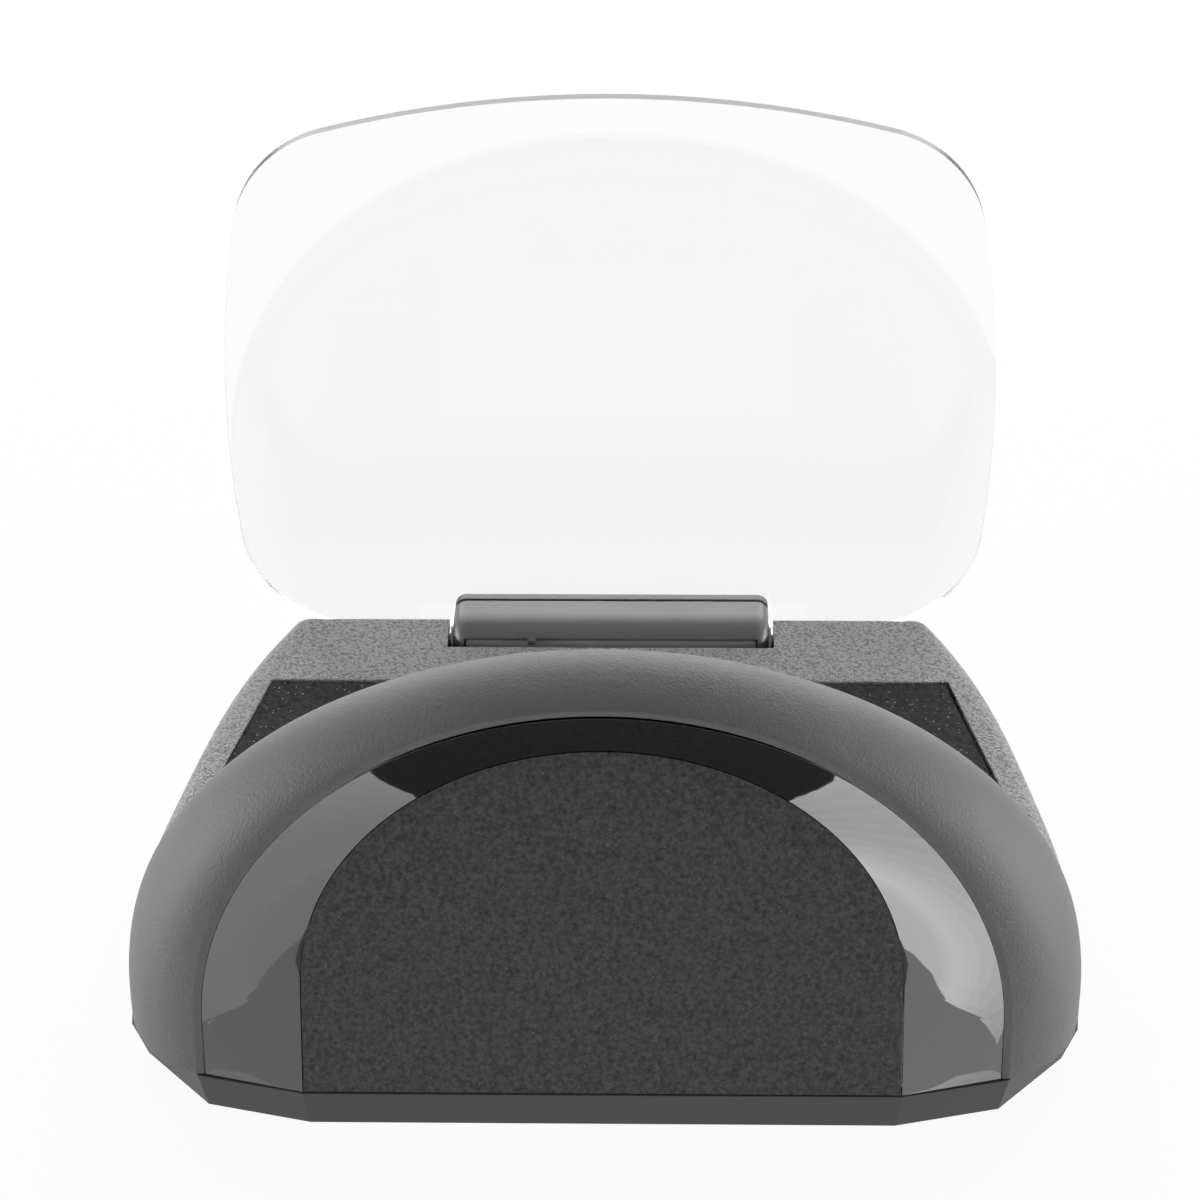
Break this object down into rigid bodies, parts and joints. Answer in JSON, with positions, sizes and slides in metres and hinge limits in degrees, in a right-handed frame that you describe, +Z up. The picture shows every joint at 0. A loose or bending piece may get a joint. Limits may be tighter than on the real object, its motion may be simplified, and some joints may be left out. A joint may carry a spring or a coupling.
{
  "type": "head-up display",
  "caption": "Portable dashboard head-up display: low moulded housing with an arched hood and a display window facing a clear plate that tilts on a friction hinge.",
  "frame": {"origin": "on the underside, in the middle of the housing's width and near the middle of its length", "axes": "+X to the viewer's right, +Y away from the viewer towards the clear plate, +Z up"},
  "size_m": [0.11, 0.0809, 0.0914],
  "materials": {
    "matte_shell": "fine matte moulded",
    "grain_shell": "leather-grain moulded",
    "grit": "gritty anti-glare",
    "gloss_black": "high gloss",
    "combiner_glass": "clear, partly mirrored",
    "window_glass": "smoked clear",
    "rubber": "matte",
    "steel": "plated",
    "aluminium": "satin",
    "board": "solder mask",
    "component": "matte",
    "white_plastic": "matte"
  },
  "bodies": {
    "housing": {"anti_glare_mat": "grit", "backlight_board": "board", "backlight_leds": "white_plastic", "base_pan": "matte_shell", "board_screws": "steel", "body_shell": "grain_shell", "button_switch": "component", "capacitors": "aluminium", "case_screws": "steel", "diffuser_sheet": "white_plastic", "display_panel": "component", "display_ribbon": "component", "display_window": "window_glass", "face_panel": "grit", "flare_bezel": "gloss_black", "grip_pad": "rubber", "heat_sink": "aluminium", "hood_back": "matte_shell", "hood_ring": "matte_shell", "light_box": "white_plastic", "main_board": "board", "power_inductor": "component", "power_socket": "steel", "processor": "component", "radio_shield": "steel", "ribbon_plug": "component", "sounder": "component"},
    "combiner": {"combiner_plate": "combiner_glass", "hinge_barrel": "matte_shell", "barrel_strip": "matte_shell", "clamp_back": "matte_shell", "gasket_pads": "rubber", "clamp_screws": "steel", "hinge_pin": "steel", "friction_washers": "steel"},
    "button": {"power_button": "gloss_black"}
  },
  "joints": [
    {"name": "combiner_tilt", "type": "hinge", "parent": "housing", "child": "combiner", "pos_m": [0, 0.0299, 0.0167], "axis": [1, 0, 0], "range_deg": [-20, 55]},
    {"name": "button_press", "type": "slide", "parent": "housing", "child": "button", "axis": [0, -1, 0], "range_m": [0, 0.0006], "stiffness_N_per_m": 600, "springref_m": -0.001}
  ]
}
